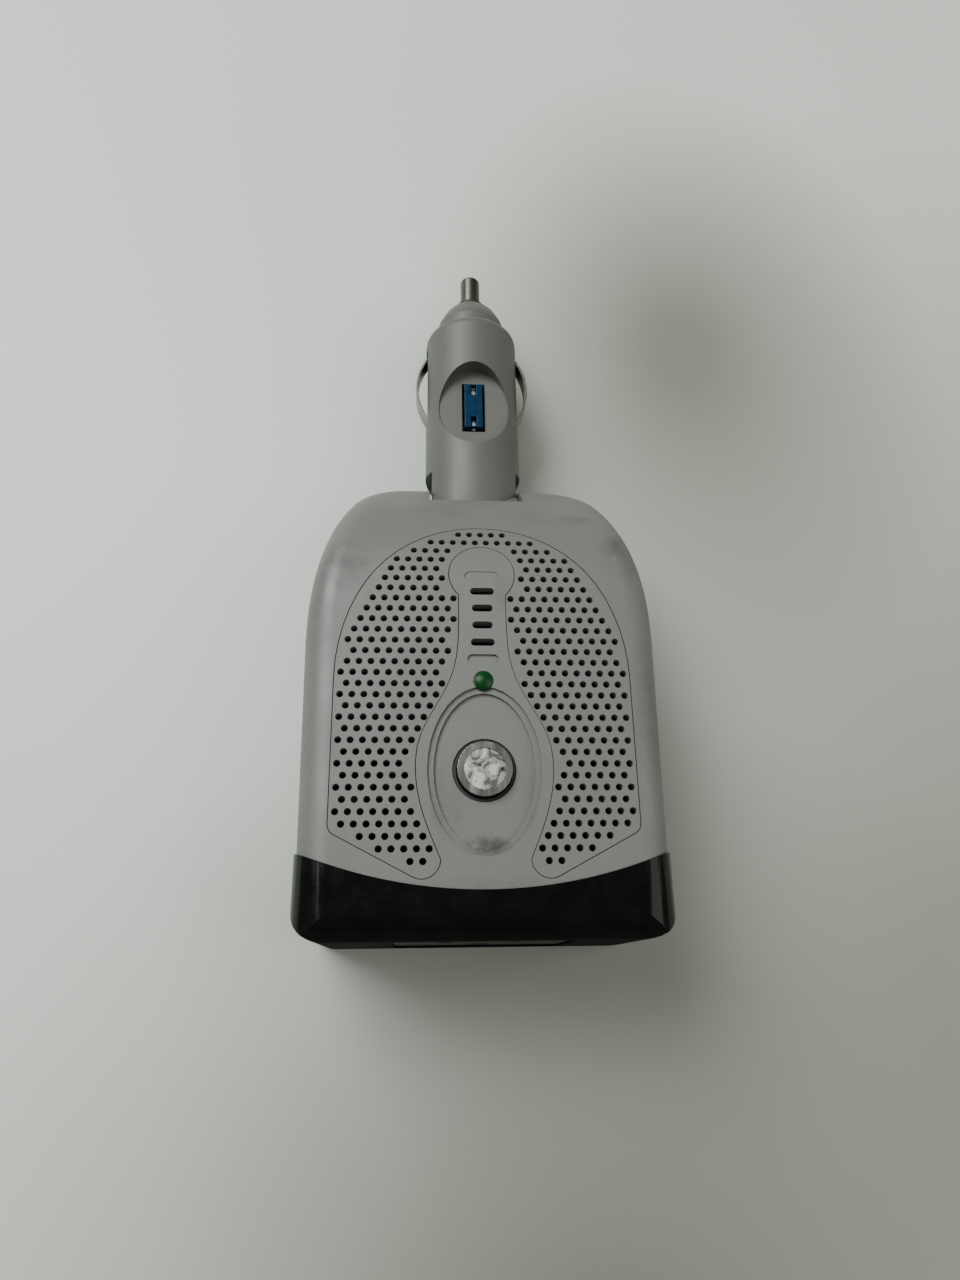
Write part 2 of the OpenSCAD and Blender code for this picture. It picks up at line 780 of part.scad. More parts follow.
// The collar's outline, as radius by distance along the plug
module nose_collar() {
    color([0.6, 0.58, 0.56]) translate([0, shoulder_y, axis_z]) rotate([-90, 0, 0]) rotate_extrude($fn = 96)
        polygon([
            [spigot_r + gap, 0.05], [collar_r, 0.05], [collar_r, 2.6], [7.3, 3.9], [6.8, 4.9], [6, 6.4],
            [4.9, 7.7], [3.7, 8.6], [3.5, 8.9], [3.45, 9], [2.45, 9], [2.45, 7], [pin_bore_r, 5.2],
            [spigot_r + gap, 5.2]
        ]);
}

module nose_ring() {
    color([0.08, 0.07, 0.06]) translate([0, shoulder_y + 9.05, axis_z]) rotate([-90, 0, 0]) difference() {
        cylinder(r = 3.3, h = 0.8, $fn = 48);
        translate([0, 0, -1]) cylinder(r = pin_d / 2 + 0.08, h = 3, $fn = 48);
    }
}

module centre_pin() {
    color([0.75, 0.72, 0.68]) translate([0, 0, axis_z]) {
        translate([0, pin_flange_y, 0]) rotate([-90, 0, 0]) rotate_extrude($fn = 64) polygon(concat(
            [
                [0, 0], [pin_flange_r, 0], [pin_flange_r, pin_flange_t], [pin_stem_r, pin_flange_t],
                [pin_stem_r, pin_step_y - pin_flange_y], [pin_d / 2, pin_step_y - pin_flange_y]
            ],
            arc([pin_d / 2 - 0.7, tip_y - pin_flange_y - 0.7], 0.7, 0, 90, 4),
            [[0, tip_y - pin_flange_y]]
        ));
    }
}

module pin_spring() {
    color("silver") difference() {
        rod(3.4, spring_y, pin_flange_y - 0.1);
        rod(2.6, spring_y - 1, pin_flange_y + 1);
    }
}

module pin_seat() {
    color("goldenrod") {
        rod(3.9, cavity_end + 2.02, spring_y - 0.05);
        block(-seat_tab.x, seat_tab.x, fuse_y + 7.5, cavity_end + 2.3, seat_z, seat_z + seat_tab.y);
    }
}

// A bowed strip between its two end tabs, on the side given by s
module side_contact(s) {
    mid = (contact_y[0] + contact_y[1]) / 2;
    half = (contact_y[1] - contact_y[0]) / 2;
    rise = contact_bow - 9.6;
    r = (half * half + rise * rise) / (2 * rise);
    swing = asin(half / r);
    pts = arc([contact_bow - r, mid], r, -swing, swing, 12);
    inner = arc([contact_bow - r, mid], r - contact_t, swing, -swing, 12);
    scale([s, 1, 1]) translate([0, 0, axis_z - contact_w / 2]) linear_extrude(contact_w) union() {
        polygon(concat(pts, inner));
        for (y = contact_y) translate([8.9, y - 0.25]) square([0.95, 0.5]);
    }
}

module left_side_contact() {
    color([0.5, 0.48, 0.45]) mirror([1, 0, 0]) side_contact(1);
}

module right_side_contact() {
    color([0.5, 0.48, 0.45]) side_contact(1);
}

module side_contact_bridge() {
    color("goldenrod") {
        block(-5.8, 5.8, 119.9, 121.5, axis_z - 5.5, axis_z - 5);
        for (s = [-1, 1]) translate([s * 5.8, 0, 0]) block(-0.25, 0.25, 119.9, 121.5, axis_z - 5.5, axis_z + 1.5);
    }
}

module fuse_body() {
    color([0.05, 0.2, 0.55]) translate([0, fuse_y, 0]) difference() {
        union() {
            block(-fuse.x / 2, fuse.x / 2, -fuse.y / 2, fuse.y / 2, fuse_top - 2.6, fuse_top);
            block(-fuse.x / 2 + 0.35, fuse.x / 2 - 0.35, -fuse.y / 2 + 0.3, fuse.y / 2 - 0.3, fuse_top - fuse.z, fuse_top - 2);
        }
        for (s = [-1, 1]) translate([0, s * blade_pitch / 2, 0]) {
            block(-0.6, 0.6, -1.2, 1.2, fuse_top - 1.4, fuse_top + 1);
            block(-blade.x / 2 - 0.05, blade.x / 2 + 0.05, -blade.y / 2 - 0.05, blade.y / 2 + 0.05, 0, fuse_top - 1);
        }
    }
}

module fuse_blades() {
    color("silver") for (s = [-1, 1]) translate([0, fuse_y + s * blade_pitch / 2, 0])
        block(-blade.x / 2, blade.x / 2, -blade.y / 2, blade.y / 2, blade_bottom, fuse_top - 1.4);
}

module fuse_clips() {
    color("goldenrod") for (s = [-1, 1]) translate([0, fuse_y + s * blade_pitch / 2, 0]) {
        for (t = [-1, 1]) translate([t * (blade.x / 2 + 0.35), 0, 0]) block(-0.25, 0.25, -1.7, 1.7, 7.6, 12.6);
        block(-0.7, 0.7, 1.75, 2.25, 7.6, 12.6);
    }
}

module plug_leads() {
    color([0.6, 0.05, 0.05]) for (s = [-1, 1]) {
        wire(0.9, [[s * 4, hinge_y + 6, axis_z], [s * 4, 102, axis_z], [s * 4, 104, axis_z - 1.5]]);
    }
}

placed() front_shell();
placed() vent_grille();
placed() back_shell();
placed() end_cap();
placed() housing_screws();
placed() hinge_pin();
placed() hinge_washers();
placed() outlet_insert();
placed() line_contact();
placed() neutral_contact();
placed() ground_contact();
placed() outlet_leads();
placed() button_bezel();
placed() button_cap();
placed() button_insert();
placed() button_spring();
placed() switch_body();
placed() indicator_lamp();
placed() buzzer();
placed() control_board();
placed() control_screws();
placed() board_header();
placed() main_board();
placed() board_screws();
placed() transformer_core();
placed() transformer_coil();
placed() choke_core();
placed() choke_winding();
placed() input_capacitors();
placed() output_capacitor();
placed() power_transistors();
placed() heat_sink();
placed() control_chips();
placed() resistors();
placed() housing_leads();
placed() plug_front_half();
placed() plug_back_half();
placed() plug_screw();
placed() nose_collar();
placed() nose_ring();
placed() centre_pin();
placed() pin_spring();
placed() pin_seat();
placed() left_side_contact();
placed() right_side_contact();
placed() side_contact_bridge();
placed() fuse_body();
placed() fuse_blades();
placed() fuse_clips();
placed() plug_leads();
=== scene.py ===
import json
import math

import bmesh
import bpy
from mathutils import Matrix, Vector


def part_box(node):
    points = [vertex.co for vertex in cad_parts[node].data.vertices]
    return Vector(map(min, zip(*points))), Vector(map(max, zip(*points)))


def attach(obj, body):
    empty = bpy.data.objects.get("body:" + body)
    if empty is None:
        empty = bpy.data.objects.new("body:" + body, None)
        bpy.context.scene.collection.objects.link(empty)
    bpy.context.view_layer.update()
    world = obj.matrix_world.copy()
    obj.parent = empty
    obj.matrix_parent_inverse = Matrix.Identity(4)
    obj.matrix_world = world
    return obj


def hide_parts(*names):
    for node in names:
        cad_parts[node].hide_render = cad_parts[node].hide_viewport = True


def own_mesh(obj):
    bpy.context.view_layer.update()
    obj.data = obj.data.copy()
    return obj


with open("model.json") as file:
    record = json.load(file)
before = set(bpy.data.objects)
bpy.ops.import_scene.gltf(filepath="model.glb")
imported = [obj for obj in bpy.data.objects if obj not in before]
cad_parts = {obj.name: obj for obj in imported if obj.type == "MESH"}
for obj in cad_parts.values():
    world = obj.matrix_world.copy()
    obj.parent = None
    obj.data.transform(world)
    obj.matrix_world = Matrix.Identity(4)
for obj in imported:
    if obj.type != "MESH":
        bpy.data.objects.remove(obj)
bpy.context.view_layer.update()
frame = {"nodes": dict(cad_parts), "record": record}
nodes = frame["nodes"]

MM = 0.001

# The frame's own places that everything else is worked out from
FRONT_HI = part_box("front_shell")[1]
PIN_LO, PIN_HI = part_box("hinge_pin")
OUTLET_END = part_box("end_cap")[0].y
HINGE_END = FRONT_HI.y
FACE_Z = FRONT_HI.z
HALF_WIDTH = FRONT_HI.x
HINGE_Y = (PIN_LO.y + PIN_HI.y) / 2
AXIS_Z = (PIN_LO.z + PIN_HI.z) / 2


# ---------------------------------------------------------------- materials

class Nodes:
    """A material's node tree with short calls for the nodes it uses."""

    def __init__(self, name):
        self.material = bpy.data.materials.new(name)
        self.material.use_nodes = True
        self.tree = self.material.node_tree
        self.shader = self.tree.nodes["Principled BSDF"]
        self.place = self.add("ShaderNodeTexCoord").outputs["Object"]

    def add(self, kind, **values):
        made = self.tree.nodes.new(kind)
        for key, value in values.items():
            setattr(made, key, value)
        return made

    def link(self, source, target):
        self.tree.links.new(source, target)

    def set(self, **values):
        for key, value in values.items():
            self.shader.inputs[key.replace("_", " ")].default_value = value

    def noise(self, scale, detail=3.0, roughness=0.5, stretch=None):
        made = self.add("ShaderNodeTexNoise")
        made.inputs["Scale"].default_value = scale
        made.inputs["Detail"].default_value = detail
        made.inputs["Roughness"].default_value = roughness
        place = self.place
        if stretch:
            mapping = self.add("ShaderNodeMapping")
            mapping.inputs["Scale"].default_value = stretch
            self.link(place, mapping.inputs["Vector"])
            place = mapping.outputs["Vector"]
        self.link(place, made.inputs["Vector"])
        return made.outputs["Fac"]

    def ramp(self, source, stops):
        made = self.add("ShaderNodeValToRGB")
        points = made.color_ramp.elements
        while len(points) < len(stops):
            points.new(0.5)
        for point, (position, colour) in zip(points, stops):
            point.position = position
            point.color = (*colour, 1.0)
        self.link(source, made.inputs["Fac"])
        return made.outputs["Color"]

    def grey(self, source, low, high, dark=0.0, light=1.0):
        return self.ramp(source, [(low, (dark,) * 3), (high, (light,) * 3)])

    def mix(self, factor, first, second):
        made = self.add("ShaderNodeMix", data_type="RGBA")
        # A colour mix has its factor in socket 0, its colours in 6 and 7, and its result in 2
        for value, socket in ((factor, made.inputs[0]), (first, made.inputs[6]), (second, made.inputs[7])):
            if isinstance(value, bpy.types.NodeSocket):
                self.link(value, socket)
            elif isinstance(value, (int, float)):
                socket.default_value = value
            else:
                socket.default_value = (*value, 1.0)
        return made.outputs[2]

    def math(self, operation, first, second=0.5, clamp=False):
        made = self.add("ShaderNodeMath", operation=operation, use_clamp=clamp)
        for value, socket in ((first, made.inputs[0]), (second, made.inputs[1])):
            if isinstance(value, bpy.types.NodeSocket):
                self.link(value, socket)
            else:
                socket.default_value = value
        return made.outputs[0]

    def spot(self, centre, radius, soft=0.6):
        """One at the centre of an ellipsoid patch, falling to nothing at its edge."""
        mapping = self.add("ShaderNodeMapping", vector_type="TEXTURE")
        mapping.inputs["Location"].default_value = centre
        mapping.inputs["Scale"].default_value = radius
        self.link(self.place, mapping.inputs["Vector"])
        gradient = self.add("ShaderNodeTexGradient", gradient_type="SPHERICAL")
        self.link(mapping.outputs["Vector"], gradient.inputs["Vector"])
        return self.grey(gradient.outputs["Fac"], 0.0, soft)

    def bump(self, source, distance, strength=0.5):
        made = self.add("ShaderNodeBump")
        made.inputs["Distance"].default_value = distance
        made.inputs["Strength"].default_value = strength
        self.link(source, made.inputs["Height"])
        self.link(made.outputs["Normal"], self.shader.inputs["Normal"])


def silver_paint(name, base, smudges_and_shade=()):
    """Satin silver-grey paint with a fine flake, faint grime and dark patches, partly handling smudges and
    partly painted shade.
    """
    m = Nodes(name)
    flake = m.noise(9000.0, 1.0)
    grime = m.noise(55.0, 6.0, 0.6)
    streaks = m.noise(120.0, 4.0, 0.6, stretch=(1.0, 0.35, 1.0))
    dark = tuple(c * 0.80 for c in base)
    light = tuple(min(1.0, c * 1.10) for c in base)
    colour = m.mix(m.grey(flake, 0.3, 0.7), dark, light)
    colour = m.mix(m.grey(grime, 0.42, 0.72, 0.0, 0.35), colour, tuple(c * 0.72 for c in base))
    colour = m.mix(m.grey(streaks, 0.55, 0.8, 0.0, 0.18), colour, tuple(c * 0.6 for c in base))
    # Each dark patch darkens the paint: some are handling smudges, some are painted shade
    for centre, radius, depth in smudges_and_shade:
        patch = m.math("MULTIPLY", m.spot(centre, radius), m.grey(m.noise(260.0, 4.0, 0.7), 0.32, 0.62))
        colour = m.mix(m.math("MULTIPLY", patch, depth), colour, tuple(c * 0.28 for c in base))
    m.link(colour, m.shader.inputs["Base Color"])
    m.link(m.grey(grime, 0.3, 0.75, 0.42, 0.58), m.shader.inputs["Roughness"])
    m.set(Metallic=0.15)
    m.bump(m.noise(2600.0, 2.0), 0.04 * MM, 0.25)
    return m.material


def moulded(name, base, rough, spread=0.08):
    """Moulded plastic: an even colour with slight variation, fine grain and uneven gloss."""
    m = Nodes(name)
    cloud = m.noise(90.0, 4.0, 0.6)
    colour = m.mix(m.grey(cloud, 0.35, 0.7), tuple(c * (1 - spread * 2) for c in base), base)
    m.link(colour, m.shader.inputs["Base Color"])
    m.link(m.grey(cloud, 0.3, 0.75, rough, min(1.0, rough + spread)), m.shader.inputs["Roughness"])
    m.bump(m.noise(1800.0, 2.0), 0.03 * MM, 0.3)
    return m.material


def worn_metal(name, base, rough, tarnish=(0.2, 0.18, 0.15), amount=0.35):
    """Plated or bare metal, with fine brushing and patches of tarnish."""
    m = Nodes(name)
    brushed = m.noise(700.0, 3.0, 0.6, stretch=(1.0, 0.12, 1.0))
    patches = m.noise(180.0, 5.0, 0.65)
    colour = m.mix(m.grey(patches, 0.5, 0.75, 0.0, amount), base, tarnish)
    m.link(colour, m.shader.inputs["Base Color"])
    m.link(m.grey(brushed, 0.3, 0.7, rough, rough + 0.16), m.shader.inputs["Roughness"])
    m.set(Metallic=1.0)
    m.bump(brushed, 0.03 * MM, 0.25)
    return m.material


END_WALL = 1.2 * MM


def gloss_black():
    """Polished black plastic with faint fingerprints in its gloss, and a matt wall at the outlet's end."""
    m = Nodes("cap_black")
    prints = m.noise(240.0, 5.0, 0.7)
    colour = m.mix(m.grey(prints, 0.45, 0.8), (0.003, 0.0035, 0.003), (0.006, 0.006, 0.0055))
    m.link(colour, m.shader.inputs["Base Color"])
    place = m.add("ShaderNodeSeparateXYZ")
    m.link(m.place, place.inputs["Vector"])
    end_wall = m.math("LESS_THAN", place.outputs["Y"], OUTLET_END + END_WALL)
    m.link(m.math("MAXIMUM", m.grey(prints, 0.4, 0.8, 0.14, 0.3), end_wall), m.shader.inputs["Roughness"])
    m.set(Specular_IOR_Level=0.2)
    m.bump(m.noise(600.0, 2.0), 0.02 * MM, 0.12)
    return m.material


def foil_resin():
    """Silver foil under clear resin, rubbed to pale swirls with a few dark specks."""
    m = Nodes("button_resin")
    swirl = m.add("ShaderNodeTexNoise")
    swirl.inputs["Scale"].default_value = 260.0
    swirl.inputs["Detail"].default_value = 4.0
    swirl.inputs["Distortion"].default_value = 2.2
    m.link(m.place, swirl.inputs["Vector"])
    cloud = swirl.outputs["Fac"]
    specks = m.grey(m.noise(1100.0, 2.0), 0.3, 0.36)
    colour = m.ramp(cloud, [
        (0.40, (0.16, 0.155, 0.14)),
        (0.47, (0.52, 0.51, 0.46)),
        (0.53, (0.26, 0.255, 0.23)),
        (0.60, (0.62, 0.61, 0.56)),
    ])
    colour = m.mix(specks, (0.03, 0.03, 0.03), colour)
    m.link(colour, m.shader.inputs["Base Color"])
    m.link(m.grey(cloud, 0.3, 0.7, 0.25, 0.5), m.shader.inputs["Roughness"])
    m.set(Metallic=0.4, Coat_Weight=0.6, Coat_Roughness=0.08)
    m.bump(cloud, 0.2 * MM, 0.5)
    return m.material


def tinted_plastic(name, base, rough=0.18, through=0.25):
    """Coloured see-through plastic, as in a lamp's lens or a fuse's body."""
    m = Nodes(name)
    cloud = m.noise(500.0, 3.0)
    colour = m.mix(m.grey(cloud, 0.35, 0.65), tuple(c * 0.7 for c in base), base)
    m.link(colour, m.shader.inputs["Base Color"])
    m.link(m.grey(cloud, 0.3, 0.7, rough, rough + 0.1), m.shader.inputs["Roughness"])
    m.set(Transmission_Weight=through, IOR=1.5, Specular_IOR_Level=0.2)
    return m.material


def circuit_green():
    """Solder mask over faint copper tracks."""
    m = Nodes("board_green")
    tracks = m.add("ShaderNodeTexBrick")
    tracks.inputs["Scale"].default_value = 220.0
    tracks.inputs["Mortar Size"].default_value = 0.06
    m.link(m.place, tracks.inputs["Vector"])
    tracks.inputs["Color1"].default_value = (0.02, 0.16, 0.07, 1)
    tracks.inputs["Color2"].default_value = (0.025, 0.19, 0.085, 1)
    tracks.inputs["Mortar"].default_value = (0.05, 0.28, 0.13, 1)
    m.link(tracks.outputs["Color"], m.shader.inputs["Base Color"])
    m.set(Roughness=0.35)
    m.bump(m.noise(900.0), 0.03 * MM, 0.3)
    return m.material


DARK_PATCH_REACH = 14 * MM  # up and down from the face, so that a dark patch runs on over its rounded edge


def dark_patch(x, y, rx, ry, depth):
    """A dark patch on the face, placed across from the centre and along from the outlet end, in mm."""
    return (x * MM, OUTLET_END + y * MM, FACE_Z), (rx * MM, ry * MM, DARK_PATCH_REACH), depth


# Dark patches on the face, each noted below: some are handling smudges, some are painted shade
FACE_SMUDGES_AND_SHADE = [
    # Handling smudges at the upper left and right corners, with a mark near the upper right
    dark_patch(-25, 66, 6, 7, 0.45),
    dark_patch(18.9, 78, 4.5, 1.9, 0.60),
    dark_patch(27, 70, 5, 8, 0.50),
    # Faint darkening across the roll-down towards the hinge end
    dark_patch(-10, 80, 12, 4, 0.22),
    dark_patch(10, 80, 8, 5, 0.18),
    # Painted shade along the left side's rounded edge
    dark_patch(-29, 58, 4, 10, 0.30),
    # Strong darkening at the lower end of the dish
    dark_patch(0, 15, 4.8, 2.1, 0.9),
    dark_patch(0.5, 14.8, 4.2, 1.8, 0.9),
    # Painted shade along the dish's inner side walls
    dark_patch(-8, 22, 1.8, 9, 0.3),
    dark_patch(-6, 20, 3, 6, 0.25),
    dark_patch(7.5, 24, 1.6, 9, 0.22),
    # A faint dark band across the face next to the cap
    dark_patch(0, 8, 14, 2.5, 0.20),
    # A small handling smudge
    dark_patch(3.5, 60, 2.5, 4, 0.22),
    # Painted shade along the right side's rounded edge
    dark_patch(29, 40, 3, 16, 0.25),
]

MATERIALS = {
    "silver_paint": silver_paint("shell_silver", (0.19, 0.192, 0.185), FACE_SMUDGES_AND_SHADE),
    # The plug's paint is the body's silver painted darker: painted shade for the soft shadow across the plug
    "plug_paint": silver_paint("plug_silver_shaded", (0.135, 0.135, 0.127)),
    "black_gloss": gloss_black(),
    "black_matte": moulded("matt_black", (0.02, 0.02, 0.02), 0.5),
    "dark_ring": moulded("ring_dark", (0.035, 0.028, 0.022), 0.5),
    "screw_steel": worn_metal("screw_steel", (0.6, 0.6, 0.6), 0.3),
    "spring_steel": worn_metal("spring_steel", (0.55, 0.55, 0.55), 0.28),
    "contact_brass": worn_metal("contact_brass", (0.75, 0.58, 0.26), 0.3),
    "contact_steel": worn_metal("contact_steel", (0.27, 0.255, 0.21), 0.26, (0.12, 0.1, 0.07), 0.6),
    "lead_insulation": moulded("lead_insulation", (0.35, 0.02, 0.02), 0.4),
    "green_lamp": tinted_plastic("lamp_green", (0.005, 0.06, 0.013), 0.25, 0.1),
    "circuit_board": circuit_green(),
    "ferrite": moulded("ferrite", (0.06, 0.06, 0.065), 0.55),
    "coil_tape": moulded("coil_tape", (0.7, 0.5, 0.08), 0.35),
    "copper_wire": worn_metal("copper_wire", (0.55, 0.22, 0.08), 0.25),
    "capacitor_sleeve": moulded("capacitor_sleeve", (0.02, 0.03, 0.1), 0.2),
    "heat_sink_aluminium": worn_metal("heat_sink_aluminium", (0.75, 0.76, 0.77), 0.3),
    "resistor_coat": moulded("resistor_coat", (0.6, 0.5, 0.3), 0.4),
    "button_chrome": worn_metal("button_chrome", (0.78, 0.76, 0.72), 0.14, (0.3, 0.28, 0.25), 0.3),
    "button_resin": foil_resin(),
    "pin_nickel": worn_metal("pin_nickel", (0.17, 0.165, 0.135), 0.3, (0.15, 0.12, 0.09), 0.5),
    "fuse_blue": tinted_plastic("fuse_blue", (0.001, 0.03, 0.085), 0.25, 0.1),
    "fuse_zinc": worn_metal("fuse_zinc", (0.62, 0.62, 0.64), 0.3),
}

SLOT_OF = {part["node"]: part["material_slot"] for part in frame["record"]["subparts"]}
for node_name, node_object in nodes.items():
    node_object.data.materials.clear()
    node_object.data.materials.append(MATERIALS[SLOT_OF[node_name]])


# ---------------------------------------------------------------- camera, floor and light

CAMERA_PLACE = Vector((-11.33, -51.89, 186.93)) * MM
CAMERA_TURNS = (("Z", -10.802), ("X", 21.082), ("Z", 10.665))
SENSOR_HEIGHT = 36.0
FOCAL_LENGTH = 25.3125


def add_camera():
    """A hand-held view from above the outlet end, looking a little towards the plug."""
    data = bpy.data.cameras.new("view")
    data.sensor_fit = "VERTICAL"
    data.sensor_height = SENSOR_HEIGHT
    data.lens = FOCAL_LENGTH
    camera = bpy.data.objects.new("view", data)
    pose = Matrix.Translation(CAMERA_PLACE)
    for axis, angle in CAMERA_TURNS:
        pose = pose @ Matrix.Rotation(math.radians(angle), 4, axis)
    camera.matrix_world = pose
    bpy.context.scene.collection.objects.link(camera)
    bpy.context.scene.camera = camera


# Broad soft shade across the table from someone leaning over it, towards the right and the near side:
# each patch's centre, reach and depth
FLOOR_SHADE = [
    ((0.11, -0.06, 0), (0.17, 0.25, 0.1), 0.74),
    ((0.02, -0.12, 0), (0.13, 0.13, 0.1), 0.85),
    ((0.055, 0.10, 0), (0.07, 0.10, 0.1), 0.80),
]
FLOOR_SIZE = 3.0
FLOOR_GAP = 0.05 * MM


def add_floor():
    """A pale table top just below the object's back."""
    m = Nodes("floor_pale")
    cloud = m.noise(3.0, 2.0)
    colour = m.mix(m.grey(cloud, 0.35, 0.65), (0.72, 0.77, 0.71), (0.75, 0.80, 0.74))
    for centre, radius, depth in FLOOR_SHADE:
        patch = m.math("MULTIPLY", m.spot(centre, radius, 0.9), depth)
        colour = m.mix(patch, colour, (0.15, 0.15, 0.11))
    m.link(colour, m.shader.inputs["Base Color"])
    m.set(Roughness=0.45)
    bpy.ops.mesh.primitive_plane_add(size=FLOOR_SIZE, location=(0, 0, -FLOOR_GAP))
    floor = bpy.context.object
    floor.name = "floor"
    floor.data.materials.append(m.material)


LIGHT_TARGET = Vector((0, 0.01, 0.02))


def add_light(name, place, size, power, colour, glossy=True):
    """A square soft light aimed at the middle of the object."""
    data = bpy.data.lights.new(name, "AREA")
    data.size = size
    data.energy = power
    data.color = colour
    lamp = bpy.data.objects.new(name, data)
    lamp.location = place
    lamp.visible_glossy = glossy
    lamp.rotation_euler = (LIGHT_TARGET - Vector(place)).to_track_quat("-Z", "Y").to_euler()
    bpy.context.scene.collection.objects.link(lamp)


def add_world(colour, strength):
    """An even dim light from all round, for the rest of the room."""
    world = bpy.data.worlds.new("soft_room")
    bpy.context.scene.world = world
    world.use_nodes = True
    background = world.node_tree.nodes["Background"]
    background.inputs["Color"].default_value = (*colour, 1.0)
    background.inputs["Strength"].default_value = strength


JOIN_DISTANCE = 0.002 * MM
SHARP_ANGLE = math.radians(40)
EDGE_WIDTHS = {"front_shell": 0.25 * MM, "back_shell": 0.3 * MM, "end_cap": 0.5 * MM}
PLAIN_EDGE = 0.12 * MM


def join_faces(thing):
    """Drops a CAD mesh's own normals and joins its faces along their shared edges."""
    normals = thing.data.attributes.get("custom_normal")
    if normals:
        thing.data.attributes.remove(normals)
    weld = thing.modifiers.new("join", "WELD")
    weld.merge_threshold = JOIN_DISTANCE


def soften(node_object, width):
    """Makes a CAD mesh shade smoothly, and rounds its sharp edges."""
    join_faces(node_object)
    node_object.data.shade_smooth()
    edge = node_object.modifiers.new("soft_edges", "BEVEL")
    edge.width = width
    edge.segments = 2
    edge.limit_method = "ANGLE"
    edge.angle_limit = SHARP_ANGLE
    edge.harden_normals = True
    even = node_object.modifiers.new("even_shading", "WEIGHTED_NORMAL")
    even.keep_sharp = True


# ---------------------------------------------------------------- refined shapes

SKIN = 0.03 * MM  # how far the refined face lies inside the CAD's
SIDE_ROUND = 5.5 * MM  # rounding of the face's long edges
END_ROUND = 0.4 * MM  # and of its two ends
TURN_EASE = 1.5 * MM  # how much tighter it is round the corners between them
ROUND_FADE = 0.7
SKIRT = 8 * MM  # how far the trimming form reaches below the hinge's axis
LEAST_WALL = 0.1 * MM
ROLL_R = 37 * MM  # the face's roll-down to the hinge end
LONG_R = 80 * MM  # the long curve of each side in plan, and where it starts
LONG_Y = OUTLET_END + 52 * MM
TURN_R = 14 * MM  # the corner of the plan at the hinge end
DRAFT = 0.7 * MM  # how much each side draws in towards the outlet end
STRAIGHT_STEPS, LONG_STEPS, TURN_STEPS, ROUND_STEPS = 12, 20, 32, 14
END_R = HINGE_END - HINGE_Y
ROLL_Y = HINGE_Y - math.sqrt((ROLL_R - END_R) ** 2 - (AXIS_Z - FACE_Z + ROLL_R) ** 2)
ROLL_ANGLE = math.atan2(AXIS_Z - FACE_Z + ROLL_R, HINGE_Y - ROLL_Y)


def face_height(y):
    """Height of the face at y: flat, then a roll-down, then an end rounded about the hinge."""
    if y < ROLL_Y:
        return FACE_Z
    if y < HINGE_Y + END_R * math.cos(ROLL_ANGLE):
        return FACE_Z - ROLL_R + math.sqrt(ROLL_R ** 2 - (y - ROLL_Y) ** 2)
    return AXIS_Z + math.sqrt(max(0.0, END_R ** 2 - (y - HINGE_Y) ** 2))


def half_outline():
    """Plan points and outward directions along the right side, from the outlet end to the hinge end."""
    long_x = HALF_WIDTH - LONG_R
    turn_y = HINGE_END - TURN_R
    turn_x = long_x + math.sqrt((LONG_R - TURN_R) ** 2 - (turn_y - LONG_Y) ** 2)
    turn_from = math.atan2(turn_y - LONG_Y, turn_x - long_x)
    rows = []
    for k in range(STRAIGHT_STEPS):
        share = k / STRAIGHT_STEPS
        rows.append(((HALF_WIDTH - DRAFT * (1 - share), OUTLET_END + share * (LONG_Y - OUTLET_END)), 0.0))
    rows.insert(0, ((rows[0][0][0], OUTLET_END - MM), 0.0))
    for k in range(LONG_STEPS + 1):
        angle = turn_from * k / LONG_STEPS
        rows.append(((long_x + LONG_R * math.cos(angle), LONG_Y + LONG_R * math.sin(angle)), angle))
    for k in range(1, TURN_STEPS + 1):
        angle = turn_from + (math.pi / 2 - turn_from) * k / TURN_STEPS
        rows.append(((turn_x + TURN_R * math.cos(angle), turn_y + TURN_R * math.sin(angle)), angle))
    return rows


def rounded_body():
    """The body's outer form with every corner of the face rounded, a hair inside the CAD's."""
    rows = half_outline()
    base = AXIS_Z - SKIRT
    levels = []
    for k in range(-1, ROUND_STEPS + 1):
        turn = max(k, 0) / ROUND_STEPS * math.pi / 2
        right = []
        for (x, y), angle in rows:
            across, along = math.cos(angle), math.sin(angle)
            radius = END_ROUND + (SIDE_ROUND - END_ROUND) * across ** ROUND_FADE - TURN_EASE * across * along
            inset = SKIN + radius * (1 - math.cos(turn))
            px, py = x - across * inset, y - along * inset
            drop = SKIN + radius * (1 - math.sin(turn))
            height = base if k < 0 else max(base + LEAST_WALL, face_height(py) - drop)
            right.append((px, py, height))
        levels.append(right + [(-px, py, height) for px, py, height in reversed(right)])
    made = bmesh.new()
    grid = [[made.verts.new(point) for point in level] for level in levels]
    count = len(grid[0])
    for first, second in zip(grid, grid[1:]):
        for i in range(count - 1):
            made.faces.new((first[i], first[i + 1], second[i + 1], second[i]))
    for level, turned in ((grid[-1], False), (grid[0], True)):
        for i in range(count // 2 - 1):
            corners = [level[i], level[i + 1], level[count - 2 - i], level[count - 1 - i]]
            made.faces.new(reversed(corners) if turned else corners)
    made.faces.new([level[0] for level in reversed(grid)] + [level[-1] for level in grid])
    bmesh.ops.recalc_face_normals(made, faces=made.faces)
    mesh = bpy.data.meshes.new("rounded_body")
    made.to_mesh(mesh)
    made.free()
    body = bpy.data.objects.new("rounded_body", mesh)
    bpy.context.scene.collection.objects.link(body)
    return body


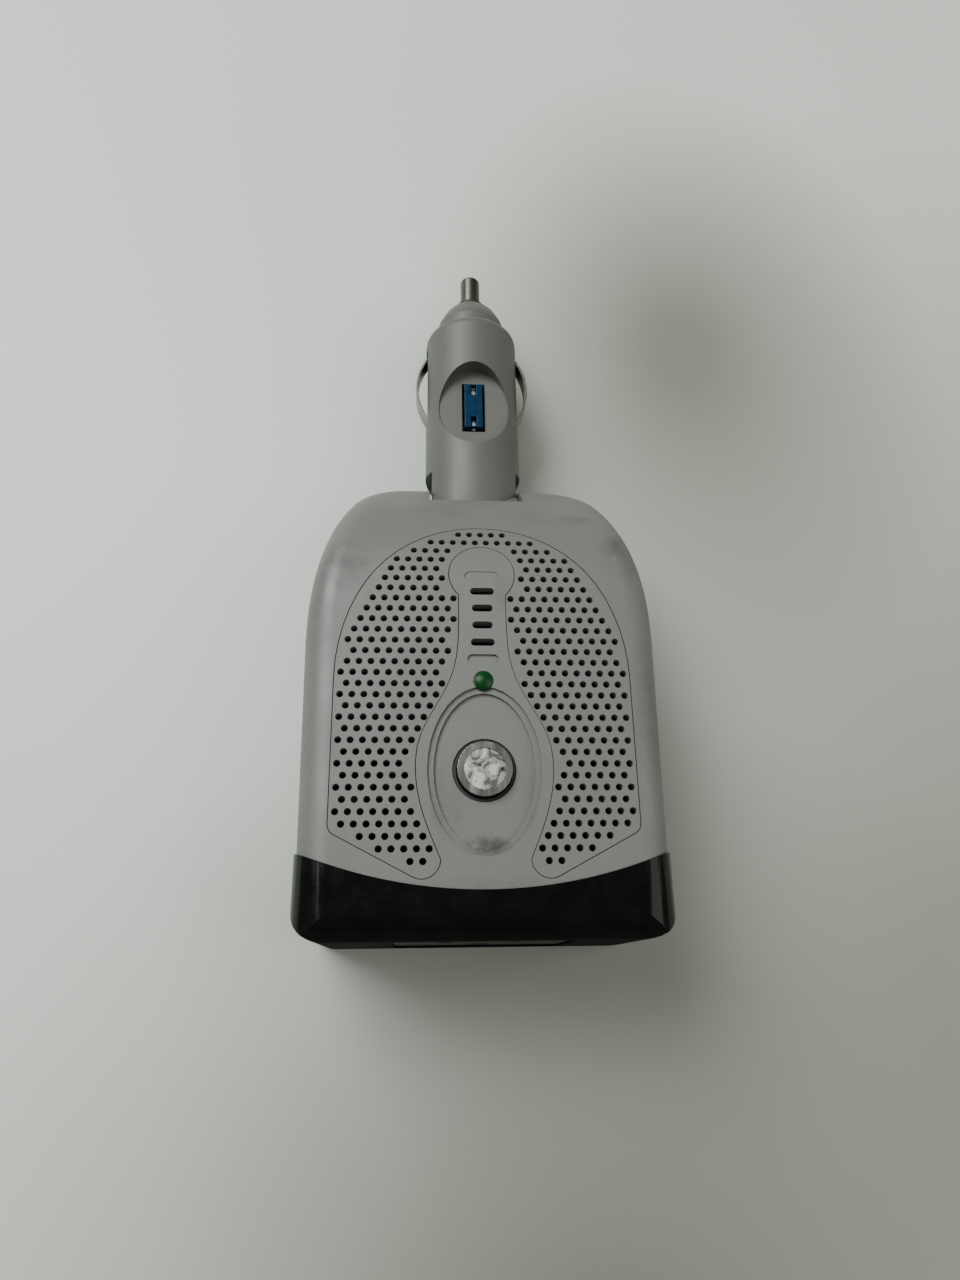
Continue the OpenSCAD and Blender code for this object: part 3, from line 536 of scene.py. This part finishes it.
def refined_front_shell():
    """The front shell with its outer skin taken from the rounded body."""
    shell = bpy.data.objects.new("front_shell_refined", nodes["front_shell"].data.copy())
    bpy.context.scene.collection.objects.link(shell)
    join_faces(shell)
    body = rounded_body()
    trim = shell.modifiers.new("trim", "BOOLEAN")
    trim.operation = "INTERSECT"
    trim.solver = "EXACT"
    trim.object = body
    bpy.context.view_layer.update()
    made = bpy.data.meshes.new_from_object(shell.evaluated_get(bpy.context.evaluated_depsgraph_get()))
    shell.modifiers.clear()
    shell.data = made
    bpy.data.objects.remove(body)
    made.materials.clear()
    made.materials.append(MATERIALS["silver_paint"])
    soften(shell, EDGE_WIDTHS["front_shell"])
    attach(shell, "housing")
    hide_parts("front_shell")


COIL_STEPS = 24  # round each turn
COIL_SIDES = 8  # round the wire


def coil_spring(name, node, axis, turns, wire):
    """An open coil in place of a spring's plain sleeve, wound along the given axis."""
    lo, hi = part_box(node)
    across = [k for k in range(3) if k != axis]
    centre = (lo + hi) / 2
    radius = (hi[across[0]] - lo[across[0]]) / 2 - wire
    steps = COIL_STEPS * turns
    points = []
    for i in range(steps + 1):
        share = i / steps
        angle = share * turns * 2 * math.pi
        point = centre.copy()
        point[across[0]] += radius * math.cos(angle)
        point[across[1]] += radius * math.sin(angle)
        point[axis] = lo[axis] + wire + share * (hi[axis] - lo[axis] - 2 * wire)
        outward = Vector((0, 0, 0))
        outward[across[0]], outward[across[1]] = math.cos(angle), math.sin(angle)
        along = Vector((0, 0, 0))
        along[axis] = 1
        points.append((point, outward, along))
    made = bmesh.new()
    rings = []
    for point, outward, along in points:
        rings.append([
            made.verts.new(point + wire * (math.cos(t) * outward + math.sin(t) * along))
            for t in (2 * math.pi * k / COIL_SIDES for k in range(COIL_SIDES))
        ])
    for first, second in zip(rings, rings[1:]):
        for k in range(COIL_SIDES):
            after = (k + 1) % COIL_SIDES
            made.faces.new((first[k], first[after], second[after], second[k]))
    made.faces.new(rings[0])
    made.faces.new(reversed(rings[-1]))
    bmesh.ops.recalc_face_normals(made, faces=made.faces)
    mesh = bpy.data.meshes.new(name)
    made.to_mesh(mesh)
    made.free()
    mesh.shade_smooth()
    mesh.materials.append(MATERIALS["spring_steel"])
    spring = bpy.data.objects.new(name, mesh)
    bpy.context.scene.collection.objects.link(spring)
    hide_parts(node)
    return spring


def add_spring(node, body, axis, turns, wire):
    """An open coil in place of a spring's plain sleeve, attached to its body."""
    spring = coil_spring(node + "_coil", node, axis, turns, wire)
    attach(spring, body)
    lo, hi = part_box(node)
    anchor = (lo + hi) / 2
    anchor[axis] = lo[axis]
    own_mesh(spring)


add_camera()
add_floor()
add_light("window", (-0.45, 0.42, 0.75), 0.6, 10.5, (0.96, 1.0, 0.965))
add_light("bounce", (0.55, -0.1, 0.5), 0.5, 1.6, (1.0, 0.98, 0.9))
add_light("room", (-0.1, -0.3, 1.0), 1.0, 2.0, (1.0, 0.99, 0.95), glossy=False)
add_world((0.95, 1.0, 0.97), 0.12)
add_spring("button_spring", "housing", 2, 5, 0.2 * MM)
add_spring("pin_spring", "plug", 1, 6, 0.3 * MM)

refined_front_shell()
for node_name, node_object in nodes.items():
    soften(node_object, EDGE_WIDTHS.get(node_name, PLAIN_EDGE))
